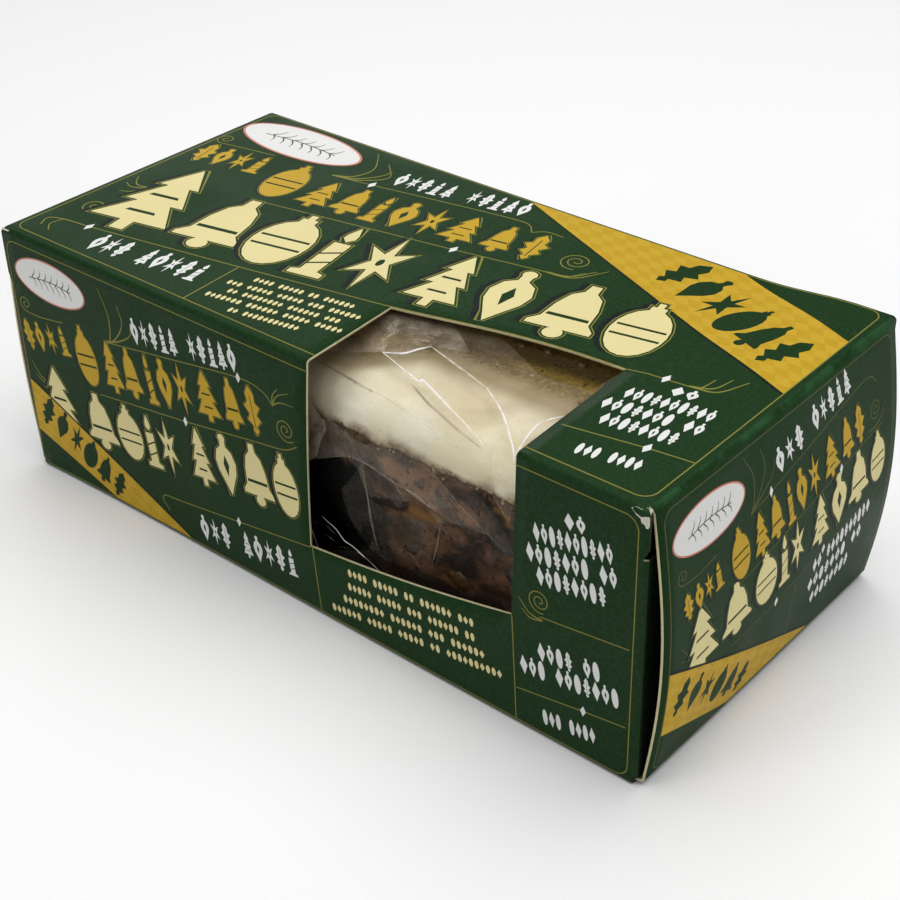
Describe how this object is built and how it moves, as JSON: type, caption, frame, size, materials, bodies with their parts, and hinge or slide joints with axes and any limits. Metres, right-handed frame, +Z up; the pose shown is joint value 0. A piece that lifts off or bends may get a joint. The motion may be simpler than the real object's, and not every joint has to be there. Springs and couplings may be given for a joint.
{
  "type": "boxed christmas cake",
  "caption": "Iced dark fruit cake in clear film wrap inside a shut printed carton, seen through a window cut across its top front fold.",
  "frame": {"origin": "on the floor under the middle of the carton", "axes": "+Z up, +X along the carton's long way towards the end nearer the window, front panel at -Y"},
  "size_m": [0.1661, 0.0776, 0.0581],
  "materials": {
    "printed_board": "satin printed",
    "cake_crumb": null,
    "icing": null,
    "clear_film": "thin clear crinkled plastic film"
  },
  "bodies": {
    "root": {"carton": "printed_board", "cake": "cake_crumb", "icing": "icing", "wrap": "clear_film"}
  },
  "joints": []
}
